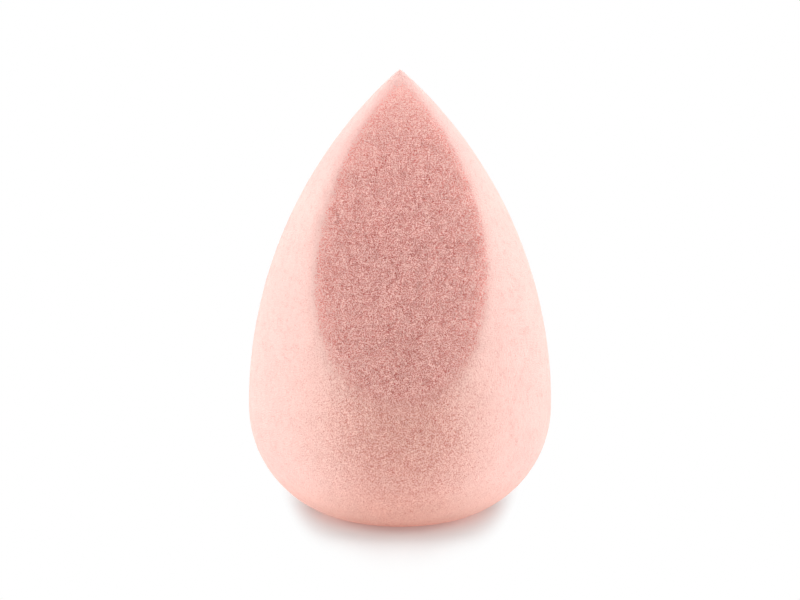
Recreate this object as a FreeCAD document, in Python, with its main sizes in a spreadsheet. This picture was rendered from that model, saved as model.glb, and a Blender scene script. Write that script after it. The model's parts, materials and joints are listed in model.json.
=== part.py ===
import FreeCAD, Part
import math
import os
import Sketcher

# Driving sizes: name, value in millimetres, and what it measures.
SIZES = (
    ("total_height", 60.0, "flat foot to tip"),
    ("widest_diameter", 40.2, "round the belly"),
    ("foot_diameter", 9.8, "flat that the sponge stands on"),
    ("skin_thickness", 0.8, "fine-celled layer that formed against the mould"),
    ("slice_lead", 0.4, "from the tip forward to where the blade goes in"),
    ("slice_rise", 3.0, "from the widest ring up to where the blade comes out"),
    ("rim_radius", 0.7, "soft edge round the sliced face"),
    ("cut_overrun", 5.0, "reach of the slicing wedge past the sponge"),
)

# Formulas that the sketches' dimensions follow. The belly is a quarter round between the foot and the
# widest ring, and the flank is the one arc that leaves that ring upright and ends at the tip. The
# blade comes out on the flank, so its reach from the axis there is the flank arc's.
FOOT_RADIUS = "sizes.foot_diameter / 2"
WIDEST_RADIUS = "sizes.widest_diameter / 2"
WEDGE_REACH = f"{WIDEST_RADIUS} + sizes.cut_overrun"
BELLY_RADIUS = f"({WIDEST_RADIUS} - {FOOT_RADIUS})"
FLANK_RISE = f"(sizes.total_height - {BELLY_RADIUS})"
FLANK_RADIUS = f"((({WIDEST_RADIUS})^2 + {FLANK_RISE}^2) / sizes.widest_diameter)"
EXIT_HEIGHT = f"{BELLY_RADIUS} + sizes.slice_rise"
EXIT_REACH = f"{WIDEST_RADIUS} - {FLANK_RADIUS} + sqrt({FLANK_RADIUS}^2 - sizes.slice_rise^2)"

# Ends and middle of a sketched line or arc, and the sketch's own origin and axes.
START, END, CENTRE = 1, 2, 3
GROUND, UPRIGHT = -1, -2
ORIGIN = (GROUND, START)
SKETCH_NORMAL = FreeCAD.Vector(0, 0, 1)


def write_sheet(doc):
    """Sheet of the driving sizes, one named cell to a row."""
    sheet = doc.addObject("Spreadsheet::Sheet", "sizes")
    for row, (name, value, meaning) in enumerate(SIZES, start=1):
        sheet.set(f"A{row}", meaning)
        sheet.set(f"B{row}", str(value))
        sheet.setAlias(f"B{row}", name)
    doc.recompute()
    return sheet


def new_sketch(body, name):
    """Empty sketch on the body's own mirror plane, with its first axis towards the back."""
    sketch = body.newObject("Sketcher::SketchObject", name)
    plane = next(item for item in body.Origin.OriginFeatures if item.Role == "YZ_Plane")
    sketch.AttachmentSupport = [(plane, "")]
    sketch.MapMode = "FlatFace"
    return sketch


def tie(sketch, kind, *places):
    """Rule between sketched lines, arcs and points, such as a tangent."""
    sketch.addConstraint(Sketcher.Constraint(kind, *places))


def measure(sketch, name, formula, kind, *places):
    """Named dimension of a sketch that follows a formula. Its value as drawn is the last place."""
    index = sketch.addConstraint(Sketcher.Constraint(kind, *places))
    sketch.renameConstraint(index, name)
    sketch.setExpression(f"Constraints.{name}", formula)


def draw_teardrop(sketch, belly_circle, flank_circle):
    """Half outline of a teardrop, closed along the axis. Returns the numbers of its two arcs.

    A flat foot runs into a quarter-round belly. At the widest ring, where the belly has come upright,
    one long flank arc takes over from it and ends at the tip.
    """
    tip_turn = math.acos(-flank_circle.Center.x / flank_circle.Radius)
    belly_arc = Part.ArcOfCircle(belly_circle, -math.pi / 2, 0)
    flank_arc = Part.ArcOfCircle(flank_circle, 0, tip_turn)
    foot_middle = FreeCAD.Vector(0, belly_arc.StartPoint.y)
    belly = sketch.addGeometry(belly_arc)
    flank = sketch.addGeometry(flank_arc)
    foot = sketch.addGeometry(Part.LineSegment(foot_middle, belly_arc.StartPoint))
    axis = sketch.addGeometry(Part.LineSegment(flank_arc.EndPoint, foot_middle))

    tie(sketch, "Tangent", foot, END, belly, START)
    tie(sketch, "Tangent", belly, END, flank, START)
    tie(sketch, "Horizontal", belly, CENTRE, flank, CENTRE)
    tie(sketch, "Coincident", flank, END, axis, START)
    tie(sketch, "Coincident", axis, END, foot, START)
    tie(sketch, "PointOnObject", foot, START, UPRIGHT)
    tie(sketch, "Horizontal", foot)
    tie(sketch, "Vertical", axis)
    reach = belly_circle.Center.x
    measure(sketch, "foot_radius", FOOT_RADIUS, "DistanceX", *ORIGIN, belly, CENTRE, reach)
    return belly, flank


def draw_sponge(sketch, sheet):
    """Outline of the moulded sponge, driven by the overall sizes. Returns its arcs' circles."""
    foot_radius = sheet.foot_diameter / 2
    widest_radius = sheet.widest_diameter / 2
    height = sheet.total_height
    belly_radius = widest_radius - foot_radius
    flank_radius = (widest_radius**2 + (height - belly_radius) ** 2) / sheet.widest_diameter
    belly_middle = FreeCAD.Vector(foot_radius, belly_radius)
    flank_middle = FreeCAD.Vector(widest_radius - flank_radius, belly_radius)
    belly_circle = Part.Circle(belly_middle, SKETCH_NORMAL, belly_radius)
    flank_circle = Part.Circle(flank_middle, SKETCH_NORMAL, flank_radius)
    belly, flank = draw_teardrop(sketch, belly_circle, flank_circle)

    tie(sketch, "PointOnObject", belly, START, GROUND)
    measure(sketch, "widest_radius", WIDEST_RADIUS, "DistanceX", *ORIGIN, belly, END, widest_radius)
    measure(sketch, "tip_height", "sizes.total_height", "DistanceY", *ORIGIN, flank, END, height)
    return belly_circle, flank_circle


def draw_core(sketch, sheet, belly_circle, flank_circle):
    """Outline of the core: the sponge's own, on the same two centres, less the skin."""
    belly_middle = belly_circle.Center
    belly_radius = belly_circle.Radius - sheet.skin_thickness
    flank_radius = flank_circle.Radius - sheet.skin_thickness
    belly_inner = Part.Circle(belly_middle, SKETCH_NORMAL, belly_radius)
    flank_inner = Part.Circle(flank_circle.Center, SKETCH_NORMAL, flank_radius)
    belly, flank = draw_teardrop(sketch, belly_inner, flank_inner)

    belly_less_skin = f"{BELLY_RADIUS} - sizes.skin_thickness"
    flank_less_skin = f"{FLANK_RADIUS} - sizes.skin_thickness"
    measure(sketch, "belly_height", BELLY_RADIUS, "DistanceY", *ORIGIN, belly, CENTRE, belly_middle.y)
    measure(sketch, "belly_radius", belly_less_skin, "Radius", belly, belly_radius)
    measure(sketch, "flank_radius", flank_less_skin, "Radius", flank, flank_radius)


def turn(body, outline):
    """Full turn of a half outline about the upright axis."""
    turned = body.newObject("PartDesign::Revolution", f"{body.Name}_turned")
    turned.Profile = outline
    turned.ReferenceAxis = (outline, ["V_Axis"])
    body.Document.recompute()


def draw_wedge(sketch, sheet, belly_circle, flank_circle):
    """Side view of what the blade takes off: a triangle in front of the slice, level with the tip."""
    height = sheet.total_height
    lead = sheet.slice_lead
    wedge_reach = sheet.widest_diameter / 2 + sheet.cut_overrun
    exit_height = belly_circle.Radius + sheet.slice_rise
    exit_reach = flank_circle.Center.x + math.sqrt(flank_circle.Radius**2 - sheet.slice_rise**2)
    slope = (height - exit_height) / (exit_reach - lead)
    entry = FreeCAD.Vector(-lead, height)
    top_corner = FreeCAD.Vector(-wedge_reach, height)
    low_corner = FreeCAD.Vector(-wedge_reach, height - slope * (wedge_reach - lead))
    level = sketch.addGeometry(Part.LineSegment(entry, top_corner))
    front = sketch.addGeometry(Part.LineSegment(top_corner, low_corner))
    slant = sketch.addGeometry(Part.LineSegment(low_corner, entry))
    way_out = sketch.addGeometry(Part.Point(FreeCAD.Vector(-exit_reach, exit_height)), True)

    tie(sketch, "Coincident", level, END, front, START)
    tie(sketch, "Coincident", front, END, slant, START)
    tie(sketch, "Coincident", slant, END, level, START)
    tie(sketch, "Horizontal", level)
    tie(sketch, "Vertical", front)
    tie(sketch, "PointOnObject", way_out, START, slant)
    measure(sketch, "tip_height", "sizes.total_height", "DistanceY", *ORIGIN, level, START, height)
    measure(sketch, "slice_lead", "sizes.slice_lead", "DistanceX", level, START, *ORIGIN, lead)
    measure(sketch, "wedge_reach", WEDGE_REACH, "DistanceX", level, END, *ORIGIN, wedge_reach)
    measure(sketch, "exit_height", EXIT_HEIGHT, "DistanceY", *ORIGIN, way_out, START, exit_height)
    measure(sketch, "exit_reach", EXIT_REACH, "DistanceX", way_out, START, *ORIGIN, exit_reach)


def rim_edges(shape):
    """Names of the edges round the sliced face, the one flat face that looks upward."""
    flats = [face for face in shape.Faces if isinstance(face.Surface, Part.Plane)]
    sliced = next(face for face in flats if face.normalAt(0, 0).z > 0)
    return [
        f"Edge{number}"
        for number, edge in enumerate(shape.Edges, start=1)
        if any(edge.isSame(side) for side in sliced.Edges)
    ]


def slice_front(body, wedge):
    """Slants the front off with one straight blade cut, and softens the rim that it leaves."""
    whole_volume = body.Shape.Volume
    cut = body.newObject("PartDesign::Pocket", "blade_cut")
    cut.Profile = wedge
    cut.SideType = "Symmetric"
    cut.setExpression("Length", f"2 * ({WEDGE_REACH})")
    body.Document.recompute()
    if cut.Shape.Volume >= whole_volume:
        raise RuntimeError("the blade took nothing off")
    rim = body.newObject("PartDesign::Fillet", "soft_rim")
    rim.Base = (cut, rim_edges(cut.Shape))
    rim.setExpression("Radius", "sizes.rim_radius")
    body.Document.recompute()


def part_layers(doc, sponge, core_form):
    """Skin and core of the sliced sponge, parted along the core's own surface."""
    skin = doc.addObject("Part::Cut", "moulded_skin")
    core = doc.addObject("Part::Common", "foam_core")
    for layer in (skin, core):
        layer.Base = sponge
        layer.Tool = core_form
    doc.recompute()
    return skin, core


def check(doc, pieces):
    """Stops the build where any step has failed or a piece isn't one sound solid."""
    for item in doc.Objects:
        if "Invalid" in item.State or "Error" in item.State:
            raise RuntimeError(f"{item.Label} failed: {item.State}")
    for piece in pieces:
        if piece.Shape.isNull() or not piece.Shape.isValid() or len(piece.Shape.Solids) != 1:
            raise RuntimeError(f"{piece.Label} isn't one sound solid")


def main():
    doc = FreeCAD.newDocument("makeup_sponge")
    sheet = write_sheet(doc)

    sponge = doc.addObject("PartDesign::Body", "sponge")
    outline = new_sketch(sponge, "sponge_outline")
    circles = draw_sponge(outline, sheet)
    turn(sponge, outline)

    core_form = doc.addObject("PartDesign::Body", "core_form")
    core_outline = new_sketch(core_form, "core_outline")
    draw_core(core_outline, sheet, *circles)
    turn(core_form, core_outline)

    wedge = new_sketch(sponge, "blade_wedge")
    draw_wedge(wedge, sheet, *circles)
    slice_front(sponge, wedge)

    pieces = part_layers(doc, sponge, core_form)
    check(doc, pieces)
    os.makedirs("parts", exist_ok=True)
    for piece in pieces:
        piece.Shape.exportStep(f"parts/{piece.Label}.step")
        box = piece.Shape.BoundBox
        print(f"{piece.Label}: {box.XLength:.2f} x {box.YLength:.2f} x {box.ZLength:.2f} mm")


main()
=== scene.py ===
import itertools
import json
import math
import bpy
import numpy as np
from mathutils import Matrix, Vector
from mathutils.geometry import delaunay_2d_cdt


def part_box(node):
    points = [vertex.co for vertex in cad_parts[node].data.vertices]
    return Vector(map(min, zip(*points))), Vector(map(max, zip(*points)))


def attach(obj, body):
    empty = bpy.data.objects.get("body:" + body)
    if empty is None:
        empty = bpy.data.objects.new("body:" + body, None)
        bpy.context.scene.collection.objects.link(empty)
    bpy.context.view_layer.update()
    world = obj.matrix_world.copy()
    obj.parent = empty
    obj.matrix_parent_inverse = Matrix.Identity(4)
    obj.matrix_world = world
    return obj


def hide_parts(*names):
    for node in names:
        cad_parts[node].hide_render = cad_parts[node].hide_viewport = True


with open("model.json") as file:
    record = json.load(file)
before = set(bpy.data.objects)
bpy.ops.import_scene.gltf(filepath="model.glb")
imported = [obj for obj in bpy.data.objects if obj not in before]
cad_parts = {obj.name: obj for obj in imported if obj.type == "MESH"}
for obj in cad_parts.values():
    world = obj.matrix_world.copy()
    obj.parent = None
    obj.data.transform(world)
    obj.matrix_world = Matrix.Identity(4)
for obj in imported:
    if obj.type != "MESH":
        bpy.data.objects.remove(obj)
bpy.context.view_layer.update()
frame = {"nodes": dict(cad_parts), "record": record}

# Lengths are in millimetres until a mesh, a material, a lamp or the camera is made from them.
MM = 0.001

# Points this close to the lowest one lie on the flat foot.
FLAT = 0.001


def corners(node):
    """Lowest and highest corner of the box round a node of the frame."""
    low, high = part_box(node)
    return np.array(low) / MM, np.array(high) / MM


# Sizes of the sponge, read from the frame.
skin_low, skin_high = corners("moulded_skin")
core_low = corners("foam_core")[0]
skin_points = np.array([v.co for v in frame["nodes"]["moulded_skin"].data.vertices]) / MM
foot_points = skin_points[skin_points[:, 2] < skin_low[2] + FLAT]
slice_mount = next(m for m in frame["record"]["mounts"] if m["name"] == "sliced_face")

HEIGHT = skin_high[2]
WIDEST_RADIUS = skin_high[0]
SKIN_THICKNESS = core_low[2]
FOOT_RADIUS = np.hypot(foot_points[:, 0], foot_points[:, 1]).max()
BELLY_RADIUS = WIDEST_RADIUS - FOOT_RADIUS
FLANK_RISE = HEIGHT - BELLY_RADIUS
FLANK_RADIUS = (WIDEST_RADIUS**2 + FLANK_RISE**2) / (2 * WIDEST_RADIUS)
SLICE_POINT = np.array(slice_mount["pos_m"]) / MM
SLICE_NORMAL = np.array(slice_mount["axis"])
ACROSS = np.array((1.0, 0.0, 0.0))
ALONG = np.cross(SLICE_NORMAL, ACROSS)

# Spacing of the mesh on the plain skin, the belly, the rim, the slice and the hidden wall.
SKIN_GAP = 0.5
BROW_GAP = 0.137
RIM_GAP = 0.12
FACE_GAP = 0.0875
HIDDEN_GAP = 1.2

# How far behind the slice plane the spacing of the rim reaches.
RIM_BAND = 1.1

# A point behind the slice, inside the sponge, from which the whole surface is seen.
HEART_DEPTH = 16.0
HEART = SLICE_POINT - HEART_DEPTH * SLICE_NORMAL

# Even spirals, and how finely curves are stepped and surfaces are searched.
GOLDEN_ANGLE = math.pi * (3 - math.sqrt(5))
HEX_SHARE = math.sqrt(3) / 2
PROFILE_STEPS = 600
LOOP_STEPS = 4800
HALVINGS = 40
SLOPE_STEP = 0.01
SETTLE_STEPS = 6

# Flat pictures are cut into triangles inside their loop, and points this close count as one.
INSIDE_LOOP = 1
SAME_POINT = 1e-9

# Rim of the slice: its rounding, and how wide and how far in the skin gives way to open cells.
RIM_BLEND = 0.9
RIM_FADE = 0.75
RIM_INSET = 0.25

# Between these heights that change moves further in, and more on the left than on the right.
RIM_LOW = 25.0
RIM_HIGH = 45.0
RIM_MORE = 0.28
RIM_LEAN = 0.026

# A band just outside the change is painted paler, as painted light on the rounded rim.
LAND_BACK = 0.4
LAND_WIDTH = 0.6

# Open cells of the slice: size, depth, how far their walls wander, and the width of a wall's slope.
CUT_CELL = 0.23
CUT_DEPTH = 0.1
CELL_WANDER = 0.35
WALL_SLOPE = 0.42

# Shares of a cell's depth: the same for all, varied from cell to cell, and varied in clumps.
EVEN_SHARE = 0.25
CELL_SHARE = 0.3
CLUMP_SHARE = 0.75

# Sizes of those two variations, in cells and in millimetres.
CELL_REACH = 1.3
CLUMP = 0.5

# Shallow dimples of the skin.
SKIN_CELL = 0.95
SKIN_DEPTH = 0.035

# Depths over which thin foam and the tip are painted lighter as light let through, and the share of
# relief the tip loses.
THIN_DEPTH = 2.3
TIP_DEPTH = 3.5
TIP_EASE = 0.9

# The front of the belly, where the open grain of the slice runs out over the skin, with deeper relief
# and painted shade in its pits: its middle, how distances from there are stretched, where the grain is
# full and where it ends, the depth of its cells, and the share of grain at which the mesh gets closer.
BROW = np.array((0.0, -19.5, 14.5))
BROW_SHAPE = np.array((1.16, 1.0, 0.75))
BROW_NEAR = 1.0
BROW_FAR = 22.5
BROW_DEPTH = 0.07
BROW_EDGE = 0.17

# Seeds of the noise. The wander of the walls takes three of them, one for each axis.
WANDER_SEED = 11
WALL_SEED = 14
CELL_SEED = 15
DIMPLE_SEED = 16
CLUMP_SEED = 17

# Seeded numbers for a lattice: the length of their table, and primes that spread corners over it.
TABLE_LENGTH = 4096
SPREAD_PRIMES = np.array((73856093, 19349663, 83492791))

# Further than any cell can be, in cell sizes.
FAR_CELL = 9.0


def teardrop(points):
    """Distance outside the teardrop before it is sliced, less than zero inside it."""
    reach = np.hypot(points[:, 0], points[:, 1])
    rise = points[:, 2] - BELLY_RADIUS
    belly = np.hypot(np.maximum(reach - FOOT_RADIUS, 0), rise) - BELLY_RADIUS
    flank = np.hypot(reach + FLANK_RADIUS - WIDEST_RADIUS, rise) - FLANK_RADIUS
    return np.where(rise < 0, belly, flank)


def beyond_slice(points):
    """Distance in front of the slice plane, less than zero behind it."""
    return (points - SLICE_POINT) @ SLICE_NORMAL


def sponge(points):
    """Distance outside the sliced teardrop, with the rim of the slice rounded."""
    body = teardrop(points)
    cut = beyond_slice(points)
    near = np.maximum(RIM_BLEND - np.abs(body - cut), 0) / RIM_BLEND
    return np.maximum(body, cut) + near**2 * RIM_BLEND / 4


def outward(points):
    """Unit normals of the sponge's surface."""
    steps = SLOPE_STEP * np.eye(3)
    slope = np.stack([sponge(points + s) - sponge(points - s) for s in steps], axis=1)
    return slope / np.linalg.norm(slope, axis=1, keepdims=True)


def settle(points):
    """Moves points along the normals on to the sponge's surface."""
    for _ in range(SETTLE_STEPS):
        points = points - outward(points) * sponge(points)[:, None]
    return points


def smooth_step(values):
    """Eases from zero to one as the values do, and stays level past both."""
    values = np.clip(values, 0, 1)
    return values * values * (3 - 2 * values)


def scatter(corner, seed):
    """Three seeded numbers from 0 to 1 for each corner of an endless lattice."""
    table = np.random.default_rng(seed).random((TABLE_LENGTH, 3))
    mixed = np.bitwise_xor.reduce(corner * SPREAD_PRIMES, axis=1)
    return table[mixed % TABLE_LENGTH]


def drift(points, size, seed):
    """Smooth noise from 0 to 1 whose lumps are about one size across."""
    place = points / size
    base = np.floor(place).astype(np.int64)
    part = smooth_step(place - base)
    total = np.zeros(len(points))
    for shift in itertools.product((0, 1), repeat=3):
        weight = np.where(shift, part, 1 - part).prod(axis=1)
        total += weight * scatter(base + np.array(shift), seed)[:, 0]
    return total


def cell_walls(points, size, seed):
    """How far each point lies from the walls between scattered foam cells, in cell sizes."""
    place = points / size
    base = np.floor(place).astype(np.int64)
    first = np.full(len(points), FAR_CELL)
    second = first.copy()
    for shift in itertools.product((-1, 0, 1), repeat=3):
        corner = base + np.array(shift)
        far = np.linalg.norm(corner + scatter(corner, seed) - place, axis=1)
        second = np.minimum(second, np.maximum(first, far))
        first = np.minimum(first, far)
    return second - first


def warp(points, size, amount, seed):
    """Shifts points by smooth noise, so that cells lose their regular outlines."""
    moved = [drift(points, size, seed + axis) - 0.5 for axis in range(3)]
    return points + amount * np.stack(moved, axis=1)


def spiral(inset, gap):
    """Points about a gap apart over the whole teardrop, inset from its surface, foot to apex."""
    belly = BELLY_RADIUS - inset
    flank = FLANK_RADIUS - inset
    low = np.linspace(-math.pi / 2, 0, PROFILE_STEPS)
    high = np.linspace(0, math.acos((FLANK_RADIUS - WIDEST_RADIUS) / flank), PROFILE_STEPS)
    foot = np.linspace(0, FOOT_RADIUS, PROFILE_STEPS)
    reach = np.concatenate((foot, FOOT_RADIUS + belly * np.cos(low),
                            WIDEST_RADIUS - FLANK_RADIUS + flank * np.cos(high)))
    rise = np.concatenate((np.full(PROFILE_STEPS, inset), BELLY_RADIUS + belly * np.sin(low),
                           BELLY_RADIUS + flank * np.sin(high)))
    strip = np.hypot(np.diff(reach), np.diff(rise)) * math.pi * (reach[1:] + reach[:-1])
    area = np.concatenate(([0], np.cumsum(strip)))
    count = int(area[-1] / (gap**2 * HEX_SHARE))
    share = (np.arange(count) + 0.5) / count * area[-1]
    turn = np.arange(count) * GOLDEN_ANGLE
    radius = np.interp(share, area, reach)
    return np.column_stack((radius * np.cos(turn), radius * np.sin(turn), np.interp(share, area, rise)))


def on_slice(across, along):
    """Points of the slice plane from their places across it and up along it."""
    return SLICE_POINT + np.outer(across, ACROSS) + np.outer(along, ALONG)


def core_loop(gap):
    """Evenly spaced points round the core where the slice lays it bare."""
    turn = np.linspace(0, 2 * math.pi, LOOP_STEPS)
    near = np.zeros(len(turn))
    far = np.full(len(turn), HEIGHT)
    for _ in range(HALVINGS):
        middle = (near + far) / 2
        inside = teardrop(on_slice(middle * np.cos(turn), middle * np.sin(turn))) < -SKIN_THICKNESS
        near = np.where(inside, middle, near)
        far = np.where(inside, far, middle)
    ring = on_slice(near * np.cos(turn), near * np.sin(turn))
    walked = np.concatenate(([0], np.cumsum(np.linalg.norm(np.diff(ring, axis=0), axis=1))))
    stops = np.linspace(0, walked[-1], int(walked[-1] / gap), endpoint=False)
    return np.column_stack([np.interp(stops, walked, ring[:, axis]) for axis in range(3)])


def sunflower(gap):
    """Points about a gap apart over the bare face of the core, short of its edge."""
    count = int(math.pi * HEIGHT**2 / 4 / (gap**2 * HEX_SHARE))
    order = np.arange(count) + 0.5
    radius = gap * np.sqrt(order * HEX_SHARE / math.pi)
    turn = order * GOLDEN_ANGLE
    points = on_slice(radius * np.cos(turn), radius * np.sin(turn))
    return points[teardrop(points) < -SKIN_THICKNESS - gap / 2]


def brow(points):
    """One below the slice where the skin's grain is most open and its pits are painted darkest as shade,
    falling to zero away from there.
    """
    away = np.linalg.norm((points - BROW) * BROW_SHAPE, axis=1)
    return smooth_step((BROW_FAR - away) / (BROW_FAR - BROW_NEAR))


def outer_points():
    """Points over everything that the skin shows, closer together near the slice and below it."""
    kept = []
    for gap in (SKIN_GAP, BROW_GAP, RIM_GAP):
        points = settle(spiral(0, gap))
        clear = teardrop(points) > -SKIN_THICKNESS + gap / 2
        rim = beyond_slice(points) > -RIM_BAND
        belly = brow(points) > BROW_EDGE
        wanted = np.select((rim, belly), (RIM_GAP, BROW_GAP), SKIN_GAP)
        kept.append(points[clear & (wanted == gap)])
    return np.vstack(kept)


def hidden_points():
    """Points over the wall between the skin and the core."""
    points = spiral(SKIN_THICKNESS, HIDDEN_GAP)
    return points[beyond_slice(points) < -HIDDEN_GAP / 2]


def picture_of(points):
    """Flat picture of a surface round the heart, in which the slice lies outside everything."""
    ray = points - HEART
    ray = ray / np.linalg.norm(ray, axis=1, keepdims=True)
    return np.column_stack((ray @ ACROSS, ray @ ALONG)) / (1 - ray @ SLICE_NORMAL)[:, None]


def plan_of(points):
    """Flat picture of points on the slice plane."""
    return np.column_stack(((points - SLICE_POINT) @ ACROSS, (points - SLICE_POINT) @ ALONG))


def triangles(flat, edge):
    """Triangles between points of a flat picture, inside the loop that the first of them make."""
    loop = list(range(edge))
    made = delaunay_2d_cdt([Vector(p) for p in flat], [], [loop], INSIDE_LOOP, SAME_POINT)
    source = np.array([origin[0] for origin in made[3]])
    return source[np.array(made[2])]


def open_cells(points):
    """Depth of the open cells at each point, zero on their walls and about one at the bottom."""
    loose = warp(points, CUT_CELL, CELL_WANDER * CUT_CELL, WANDER_SEED)
    hollow = smooth_step(cell_walls(loose, CUT_CELL, WALL_SEED) / WALL_SLOPE)
    varied = CELL_SHARE * drift(points, CELL_REACH * CUT_CELL, CELL_SEED)
    clumped = CLUMP_SHARE * drift(points, CLUMP, CLUMP_SEED)
    return hollow * (EVEN_SHARE + varied + clumped)


def relief(points):
    """Moves points in to the bottom of the foam's cells. Returns them, and what the finish reads."""
    body = teardrop(points)
    rise = points[:, 2]
    high = smooth_step((rise - RIM_LOW) / (RIM_HIGH - RIM_LOW))
    inset = RIM_INSET + high * (RIM_MORE - RIM_LEAN * points[:, 0])
    past_rim = beyond_slice(points) - body - inset
    cut = smooth_step(0.5 + past_rim / (2 * RIM_FADE))
    land = np.exp(-(((past_rim + LAND_BACK) / LAND_WIDTH) ** 2))
    pore = open_cells(points)
    grain_and_shade = brow(points)
    tip = np.exp((rise - HEIGHT) / TIP_DEPTH)
    eased = 1 - TIP_EASE * tip
    skin_sink = SKIN_DEPTH * drift(points, SKIN_CELL, DIMPLE_SEED) + BROW_DEPTH * pore * grain_and_shade
    sink = CUT_DEPTH * pore * cut + skin_sink * (1 - cut)
    sink = sink * smooth_step((rise - FLAT) / SKIN_CELL) * eased
    # thin and tip mark where the slice is painted lighter, as light let through thin foam.
    notes = {"cut": cut, "pore": pore * eased, "thin": np.exp(body / THIN_DEPTH), "tip": tip,
             "brow": grain_and_shade, "land": land}
    return points - outward(points) * sink[:, None], notes


def make_piece(name, shown, hidden, faces, notes, edge):
    """A closed mesh of shown points, then hidden ones. The first are the sharp edge between both."""
    mesh = bpy.data.meshes.new(name)
    points = np.vstack((shown, hidden)) * MM
    mesh.from_pydata(points.tolist(), [], faces.tolist())
    mesh.polygons.foreach_set("use_smooth", np.ones(len(mesh.polygons), bool))
    ends = np.zeros(len(mesh.edges) * 2, np.int32)
    mesh.edges.foreach_get("vertices", ends)
    mesh.edges.foreach_set("use_edge_sharp", (ends.reshape(-1, 2) < edge).all(axis=1))
    padding = np.zeros(len(hidden))
    for note, values in notes.items():
        attribute = mesh.attributes.new(note, "FLOAT", "POINT")
        attribute.data.foreach_set("value", np.concatenate((values, padding)))
    mesh.update()
    piece = bpy.data.objects.new(name, mesh)
    bpy.context.scene.collection.objects.link(piece)
    return piece


def make_foam():
    """The skin, with its land round the slice, and the core that the slice lays bare."""
    loop = core_loop(FACE_GAP)
    edge = len(loop)
    hidden = hidden_points()
    wall = triangles(picture_of(np.vstack((loop, hidden))), edge)

    def wall_behind(shown):
        return np.where(wall < edge, wall, wall + len(shown) - edge)

    shell = np.vstack((loop, outer_points()))
    cover = triangles(picture_of(shell), edge)
    skin_faces = np.vstack((cover[:, ::-1], wall_behind(shell)))
    shell_shown, shell_notes = relief(shell)
    skin = make_piece("skin", shell_shown, hidden, skin_faces, shell_notes, edge)

    bare = np.vstack((loop, sunflower(FACE_GAP)))
    face = triangles(plan_of(bare), edge)
    core_faces = np.vstack((face, wall_behind(bare)[:, ::-1]))
    bare_shown, bare_notes = relief(bare)
    core = make_piece("core", bare_shown, hidden, core_faces, bare_notes, edge)
    return skin, core


def linear(red, green, blue):
    """A colour for a node, from sRGB values of 0 to 255 as a screen shows them."""
    shares = np.array((red, green, blue)) / 255
    return tuple(np.where(shares <= 0.04045, shares / 12.92, ((shares + 0.055) / 1.055) ** 2.4)) + (1.0,)


class Graph:
    """Short ways to add nodes to a material or a world."""

    def __init__(self, owner):
        owner.use_nodes = True
        self.tree = owner.node_tree
        self.tree.nodes.clear()

    def node(self, kind, settings=None, **inputs):
        made = self.tree.nodes.new(kind)
        for key, value in (settings or {}).items():
            setattr(made, key, value)
        for key, value in inputs.items():
            self.put(made.inputs[key.replace("_", " ")], value)
        return made

    def put(self, socket, value):
        if isinstance(value, bpy.types.NodeSocket):
            self.tree.links.new(value, socket)
        else:
            socket.default_value = value

    def math(self, operation, first, second=0.0):
        made = self.node("ShaderNodeMath", {"operation": operation})
        self.put(made.inputs[0], first)
        self.put(made.inputs[1], second)
        return made.outputs[0]

    def product(self, first, *others):
        for other in others:
            first = self.math("MULTIPLY", first, other)
        return first

    def vector(self, operation, first, second):
        made = self.node("ShaderNodeVectorMath", {"operation": operation})
        self.put(made.inputs[0], first)
        self.put(made.inputs[1], second)
        return next(s for s in made.outputs if s.enabled)

    def mix(self, share, first, second, kind="RGBA", blend="MIX"):
        made = self.node("ShaderNodeMix", {"data_type": kind, "blend_type": blend})
        sockets = [s for s in made.inputs if s.enabled]
        for socket, value in zip(sockets, (share, first, second)):
            self.put(socket, value)
        return next(s for s in made.outputs if s.enabled)

    def add(self, first, second):
        made = self.node("ShaderNodeAddShader")
        self.put(made.inputs[0], first.outputs[0])
        self.put(made.inputs[1], second.outputs[0])
        return made

    def span(self, value, low, high, to_low=0.0, to_high=1.0):
        made = self.node("ShaderNodeMapRange", {"interpolation_type": "SMOOTHSTEP"})
        for socket, given in zip(made.inputs, (value, low, high, to_low, to_high)):
            self.put(socket, given)
        return made.outputs[0]

    def span_mm(self, value, low, high, to_low=0.0, to_high=1.0):
        return self.span(value, low * MM, high * MM, to_low, to_high)

    def note(self, name):
        return self.node("ShaderNodeAttribute", {"attribute_name": name}).outputs["Fac"]

    def axes(self, place):
        return self.node("ShaderNodeSeparateXYZ", Vector=place).outputs

    def noise(self, place, size, detail, rough, distort, low, high):
        made = self.node("ShaderNodeTexNoise", Vector=place, Scale=1 / (size * MM), Detail=detail,
                         Roughness=rough, Distortion=distort)
        return self.span(made.outputs["Fac"], low, high)


# Noise in the foam: size, octaves, roughness, distortion, and the levels drawn out to zero and one.
GRAIN = {"size": 0.2, "detail": 3.0, "rough": 0.6, "distort": 0.8, "low": 0.32, "high": 0.68}
SPECK = {"size": 0.14, "detail": 1.0, "rough": 0.5, "distort": 0.0, "low": 0.42, "high": 0.58}
SKIN_SPECK = {"size": 0.12, "detail": 1.0, "rough": 0.5, "distort": 0.0, "low": 0.42, "high": 0.58}
MOTTLE = {"size": 3.5, "detail": 2.0, "rough": 0.55, "distort": 0.0, "low": 0.3, "high": 0.7}

# The grain is drawn out upwards. Specks are this share of the pits, and the cells are the rest.
DRAWN = (1.0, 1.0, 0.7)
SPECK_SHARE = 0.58

# Plain skin: two shades, an even tone between them, and the share that the grain has in it.
SKIN_LIGHT = linear(246, 210, 203)
SKIN_DARK = linear(238, 185, 175)
SKIN_TONE = 0.5
SKIN_GRAIN = 0.4

# Painted light on the land round the slice, and how much of its paler tone is laid over the skin.
LAND_PAINTED_LIGHT = linear(255, 212, 203)
LAND_SHARE = 0.25

# Grainy skin on the belly, its pits painted dark as their shade. Away from there only the deepest pits
# are painted dark.
BROW_LIGHT = linear(255, 211, 198)
BROW_PIT_SHADE = linear(199, 91, 77)
SPARSE = 0.6
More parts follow.
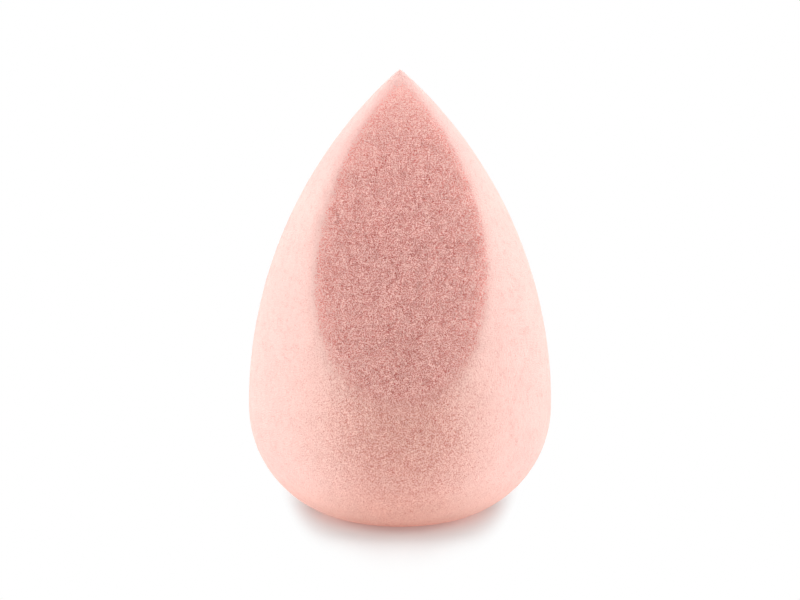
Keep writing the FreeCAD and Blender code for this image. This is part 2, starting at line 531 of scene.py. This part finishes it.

# Slice: struts and cells in the open, near the rim and at the tip. Cells are painted darker as their
# shade, and near the rim and at the tip the tones are painted lighter as light let through thin foam.
CUT_LIGHT = linear(255, 207, 198)
CUT_CELL_SHADE = linear(186, 53, 43)
RIM_GLOW_STRUT = linear(255, 213, 204)
RIM_GLOW_CELL = linear(245, 130, 119)
TIP_GLOW_STRUT = linear(255, 212, 203)
TIP_GLOW_CELL = linear(251, 146, 136)

# How far the slice takes on the tones of the belly where the two meet.
MERGE = 0.4

# The grain tears the edge of the slice: by how much, about which level, and between which shares.
RIM_GRAIN = 0.7
TORN_LEVEL = 0.45
TORN_LOW = 0.2
TORN_HIGH = 0.8

# A share times what is left of it is greatest halfway, and is this there.
HALFWAY_PEAK = 0.25

# Painted shade over the top of the skin, where less light falls, a tint that makes the foot end warmer
# and darker, and the heights between which they fade.
TOP_SHADE = (0.965, 0.935, 0.95, 1.0)
TOP_LOW = 42.0
TOP_HIGH = 52.0
BASE_TINT = (1.0, 0.91, 0.84, 1.0)
BASE_LOW = 1.0
BASE_HIGH = 9.0

# Faint clouds over the whole sponge.
CLOUD_DARK = (0.945, 0.945, 0.945, 1.0)
CLOUD_LIGHT = (0.985, 0.985, 0.985, 1.0)

# Finish of the foam: dull, with a soft sheen and shallow bumps of grain and specks.
BUMP_DEPTH = 0.08
BUMP_SPECKS = 0.4
ROUGHNESS = 0.95
GLOSS = 0.15
SHEEN = 0.5
SHEEN_SPREAD = 0.5
SHEEN_TINT = linear(255, 226, 220)


def skin_colour(graph, rise, drawn, grain, pore, grain_and_shade):
    """Pale skin with a painted-light land round the slice and a painted-shade top, and a grainier patch
    on the belly. Pits are painted dark as their shade, few away from the belly.
    """
    even = graph.mix(SKIN_GRAIN, SKIN_TONE, grain, "FLOAT")
    plain = graph.mix(even, SKIN_LIGHT, SKIN_DARK)
    # The land round the slice is painted paler, as painted light.
    smooth = graph.mix(graph.product(graph.note("land"), LAND_SHARE), plain, LAND_PAINTED_LIGHT)
    # The top of the skin is painted darker as shade.
    top_shaded = graph.mix(graph.span_mm(rise, TOP_LOW, TOP_HIGH), smooth, TOP_SHADE, blend="MULTIPLY")
    ground = graph.mix(grain_and_shade, top_shaded, BROW_LIGHT)
    pits = graph.mix(SPECK_SHARE, pore, graph.noise(drawn, **SKIN_SPECK), "FLOAT")
    spared = graph.span(grain_and_shade, 0.0, 1.0, SPARSE, 0.0)
    deep_pit_shade = graph.math("MAXIMUM", graph.math("SUBTRACT", pits, spared))
    # Pits are painted darker as the shade in them.
    return graph.mix(deep_pit_shade, ground, BROW_PIT_SHADE)


def slice_colour(graph, pitted, grain_and_shade):
    """Cells painted darker and rosier as their shade between paler struts, painted lighter where the
    foam is thin and at the tip, as light let through.
    """
    tip = graph.note("tip")
    thin = graph.product(graph.note("thin"), graph.math("SUBTRACT", 1.0, grain_and_shade))
    merged = graph.product(grain_and_shade, MERGE)
    open_light = graph.mix(merged, CUT_LIGHT, BROW_LIGHT)
    open_cell_shade = graph.mix(merged, CUT_CELL_SHADE, BROW_PIT_SHADE)
    # Near the rim and at the tip the tones are painted light, as light let through thin foam; cells are
    # painted shade.
    strut = graph.mix(tip, graph.mix(thin, open_light, RIM_GLOW_STRUT), TIP_GLOW_STRUT)
    cell = graph.mix(tip, graph.mix(thin, open_cell_shade, RIM_GLOW_CELL), TIP_GLOW_CELL)
    return graph.mix(pitted, strut, cell)


def bared_share(graph, pitted, grain_and_shade):
    """One on the slice and zero on the skin, torn by the grain between them except on the belly."""
    cut = graph.note("cut")
    halfway = graph.product(cut, graph.math("SUBTRACT", 1.0, cut), RIM_GRAIN / HALFWAY_PEAK)
    torn = graph.product(graph.math("SUBTRACT", pitted, TORN_LEVEL), halfway)
    ragged = graph.span(graph.math("ADD", cut, torn), TORN_LOW, TORN_HIGH)
    return graph.mix(grain_and_shade, ragged, cut, "FLOAT")


def foam_material(slot):
    """Foam that is pale and fine on the skin and rosier in the open cells of the slice."""
    material = bpy.data.materials.new(slot)
    graph = Graph(material)
    place = graph.node("ShaderNodeTexCoord").outputs["Object"]
    drawn = graph.vector("MULTIPLY", place, DRAWN)
    rise = graph.axes(place)["Z"]
    grain = graph.noise(drawn, **GRAIN)
    speck = graph.noise(place, **SPECK)
    pore = graph.note("pore")
    grain_and_shade = graph.note("brow")
    pitted = graph.mix(SPECK_SHARE, pore, speck, "FLOAT")
    skin = skin_colour(graph, rise, drawn, grain, pore, grain_and_shade)
    tone = graph.mix(bared_share(graph, pitted, grain_and_shade), skin, slice_colour(graph, pitted, grain_and_shade))
    cloud = graph.mix(graph.noise(place, **MOTTLE), CLOUD_DARK, CLOUD_LIGHT)
    low = graph.span_mm(rise, BASE_LOW, BASE_HIGH, 1.0, 0.0)
    warm = graph.mix(low, cloud, BASE_TINT, blend="MULTIPLY")
    colour = graph.mix(1.0, tone, warm, blend="MULTIPLY")
    height = graph.mix(BUMP_SPECKS, grain, speck, "FLOAT")
    bump = graph.node("ShaderNodeBump", {"invert": True}, Strength=1.0, Distance=BUMP_DEPTH * MM,
                      Height=height)
    surface = graph.node("ShaderNodeBsdfPrincipled", Base_Color=colour, Roughness=ROUGHNESS,
                         Normal=bump.outputs[0], Sheen_Weight=SHEEN, Sheen_Roughness=SHEEN_SPREAD,
                         Sheen_Tint=SHEEN_TINT, Specular_IOR_Level=GLOSS)
    graph.node("ShaderNodeOutputMaterial", Surface=surface.outputs[0])
    return material


# Floor: its size, its grey as light on the sponge, its paint as the eye sees it, and a painted shadow
# that makes that paint darker and pinker round the foot, and its middle.
FLOOR_RADIUS = 6000.0
FLOOR_GREY = (0.8, 0.8, 0.8, 1.0)
FLOOR_PLAIN = (0.6, 0.6, 0.6, 1.0)
FLOOR_SHADOW_PAINT = (0.53, 0.42, 0.4, 1.0)
SHADOW_PAINT_CENTRE = (0.0, 4.0, 0.0)

# Extra light of the floor: what the eye sees, and what the sponge gets from afar and at the foot.
FLOOR_LIFT = 0.07
FLOOR_BOUNCE = 0.33
FOOT_BOUNCE = 0.18

# Pink light round the foot, where the foam lets light through: the eye's level and the sponge's.
GLOW_COLOUR = (1.0, 0.42, 0.33, 1.0)
GLOW_LEVEL = 0.08
GLOW_BOUNCE = 0.25
GLOW_NEAR = 7.0
GLOW_FAR = 15.5

# Edge of the contact shadow: where it starts in front, how it bends back, and where it is over.
SHADE_EDGE = 6.2
SHADE_CURVE = 0.0232
SHADE_NEAR = -2.0
SHADE_FAR = 44.0

# From the middle to the sides the shadow runs out faster, up to this many times.
SHADE_MIDDLE = 2.0
SHADE_SIDE = 9.0
SHADE_HASTE = 1.8

# Distances round the sponge between which the floor turns to plain white for the eye.
FLOOR_NEAR = 18.0
FLOOR_FAR = 42.0


def seen(graph):
    """One for the rays that show a surface to the eye, straight or mirrored, and zero for the rest."""
    path = graph.node("ShaderNodeLightPath").outputs
    mirrored = graph.math("MAXIMUM", path["Is Glossy Ray"], path["Is Transmission Ray"])
    return graph.math("MAXIMUM", path["Is Camera Ray"], mirrored)


def past_shade(graph, place):
    """Zero in the contact shadow, rising to one in front of it and to its sides."""
    axes = graph.axes(place)
    bend = graph.product(axes["X"], axes["X"], SHADE_CURVE / MM**2)
    back = graph.product(bend, bend, MM)
    ahead = graph.math("SUBTRACT", graph.math("SUBTRACT", back, axes["Y"]), SHADE_EDGE * MM)
    aside = graph.math("ABSOLUTE", axes["X"])
    haste = graph.span_mm(aside, SHADE_MIDDLE, SHADE_SIDE, 1.0, SHADE_HASTE)
    run = graph.math("ADD", graph.product(ahead, haste), SHADE_EDGE * MM)
    return graph.span_mm(run, SHADE_NEAR, SHADE_FAR)


def floor_material():
    """A pale floor that keeps the shadow near the sponge, with a painted shadow round the foot, and is
    plain white further off.
    """
    material = bpy.data.materials.new("floor")
    graph = Graph(material)
    place = graph.node("ShaderNodeTexCoord").outputs["Object"]
    shown = seen(graph)
    away = graph.vector("DISTANCE", place, (0.0, 0.0, 0.0))
    close = graph.span_mm(away, GLOW_NEAR, GLOW_FAR, 1.0, 0.0)
    shadow_paint_away = graph.vector("DISTANCE", place, Vector(SHADOW_PAINT_CENTRE) * MM)
    shadow_painted = graph.span_mm(shadow_paint_away, GLOW_NEAR, GLOW_FAR, 1.0, 0.0)
    # For the eye the floor is painted darker and pinker round the foot, a painted shadow.
    paint = graph.mix(shown, FLOOR_GREY, graph.mix(shadow_painted, FLOOR_PLAIN, FLOOR_SHADOW_PAINT))
    plain = graph.node("ShaderNodeBsdfDiffuse", Color=paint)
    bounce = graph.mix(close, FLOOR_BOUNCE, FOOT_BOUNCE, "FLOAT")
    lift = graph.node("ShaderNodeEmission", Strength=graph.mix(shown, bounce, FLOOR_LIFT, "FLOAT"))
    level = graph.mix(shown, GLOW_BOUNCE, GLOW_LEVEL, "FLOAT")
    glow = graph.node("ShaderNodeEmission", Color=GLOW_COLOUR, Strength=graph.product(level, close))
    lit = graph.add(plain, graph.add(lift, glow))
    white = graph.node("ShaderNodeEmission", Strength=1.0)
    past_floor = graph.span_mm(away, FLOOR_NEAR, FLOOR_FAR)
    blank = graph.product(shown, graph.math("MAXIMUM", past_shade(graph, place), past_floor))
    both = graph.node("ShaderNodeMixShader", Fac=blank)
    graph.put(both.inputs[1], lit.outputs[0])
    graph.put(both.inputs[2], white.outputs[0])
    graph.node("ShaderNodeOutputMaterial", Surface=both.outputs[0])
    return material


def make_floor():
    """One wide square under the sponge."""
    mesh = bpy.data.meshes.new("floor")
    side = FLOOR_RADIUS * MM
    ends = [(x * side, y * side, 0) for x, y in ((-1, -1), (1, -1), (1, 1), (-1, 1))]
    mesh.from_pydata(ends, [], [(0, 1, 2, 3)])
    mesh.materials.append(floor_material())
    floor = bpy.data.objects.new("floor", mesh)
    bpy.context.scene.collection.objects.link(floor)


# Brightness of the room as light on the sponge.
WORLD_LEVEL = 0.1


def make_world():
    """A white room: full white to the eye, dimmer as light on the sponge."""
    world = bpy.data.worlds.new("room")
    bpy.context.scene.world = world
    graph = Graph(world)
    strength = graph.mix(seen(graph), WORLD_LEVEL, 1.0, "FLOAT")
    room = graph.node("ShaderNodeBackground", Color=(1.0, 1.0, 1.0, 1.0), Strength=strength)
    graph.node("ShaderNodeOutputWorld", Surface=room.outputs[0])


# Height of the point that the lamps and the camera face.
AIM_HEIGHT = 29.2


def direction(azimuth, elevation):
    """Unit vector from the sponge towards a place round it: azimuth 0 is the front."""
    turn = math.radians(azimuth)
    lift = math.radians(elevation)
    return Vector((math.sin(turn) * math.cos(lift), -math.cos(turn) * math.cos(lift), math.sin(lift)))


def aim(thing, azimuth, elevation, distance):
    """Puts a lamp or camera at a distance from the sponge's middle, facing it."""
    back = direction(azimuth, elevation)
    thing.location = Vector((0, 0, AIM_HEIGHT * MM)) + back * distance * MM
    thing.rotation_euler = back.to_track_quat("Z", "Y").to_euler()


# Each softbox: azimuth, elevation, distance, width, height and brightness.
SOFTBOXES = {
    "left_softbox": (-92, 15, 700, 520, 300, 9.3),
    "right_softbox": (92, 15, 700, 520, 300, 9.3),
    "top_softbox": (180, 87, 700, 900, 900, 3.0),
}

# A small soft spot on the tip, where thin foam lets light through.
SPOT_POWER = 2.2
SPOT_ANGLE = 5.2
SPOT_BLEND = 1.0
SPOT_SIZE = 20.0
SPOT_ELEVATION = 50.0
SPOT_DISTANCE = 500.0
SPOT_RAISE = 30.0


def make_softboxes():
    """Wide soft lamps at both sides and overhead."""
    for name, (azimuth, elevation, distance, width, height, bright) in SOFTBOXES.items():
        data = bpy.data.lights.new(name, "AREA")
        data.shape = "RECTANGLE"
        data.size = width * MM
        data.size_y = height * MM
        data.energy = bright * math.pi * data.size * data.size_y
        lamp = bpy.data.objects.new(name, data)
        bpy.context.scene.collection.objects.link(lamp)
        aim(lamp, azimuth, elevation, distance)


def make_tip_spot():
    """The spot is aimed at the middle of the sponge and then raised to the tip."""
    data = bpy.data.lights.new("tip_spot", "SPOT")
    data.energy = SPOT_POWER
    data.spot_size = math.radians(SPOT_ANGLE)
    data.spot_blend = SPOT_BLEND
    data.shadow_soft_size = SPOT_SIZE * MM
    lamp = bpy.data.objects.new("tip_spot", data)
    bpy.context.scene.collection.objects.link(lamp)
    aim(lamp, 0, SPOT_ELEVATION, SPOT_DISTANCE)
    lamp.location.z += SPOT_RAISE * MM


# Camera: where it stands, its lens, and the nearest and furthest that it sees.
VIEW_ELEVATION = 10.0
VIEW_DISTANCE = 500.0
LENS = 170.0
VIEW_NEAREST = 50.0
VIEW_FURTHEST = 2 * FLOOR_RADIUS


def make_camera():
    """Looks at the sponge from the front, slightly from above."""
    data = bpy.data.cameras.new("camera")
    data.lens = LENS
    data.clip_start = VIEW_NEAREST * MM
    data.clip_end = VIEW_FURTHEST * MM
    camera = bpy.data.objects.new("camera", data)
    bpy.context.scene.collection.objects.link(camera)
    aim(camera, 0, VIEW_ELEVATION, VIEW_DISTANCE)
    bpy.context.scene.camera = camera


def dress(piece, node, slot):
    """Gives a piece its foam and sets it in the place of a node of the frame."""
    piece.data.materials.append(foam_material(slot))
    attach(piece, "root")
    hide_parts(node)


skin_piece, core_piece = make_foam()
dress(skin_piece, "moulded_skin", "skin_foam")
dress(core_piece, "foam_core", "core_foam")
make_floor()
make_world()
make_softboxes()
make_tip_spot()
make_camera()
bpy.context.scene.view_settings.view_transform = "Standard"
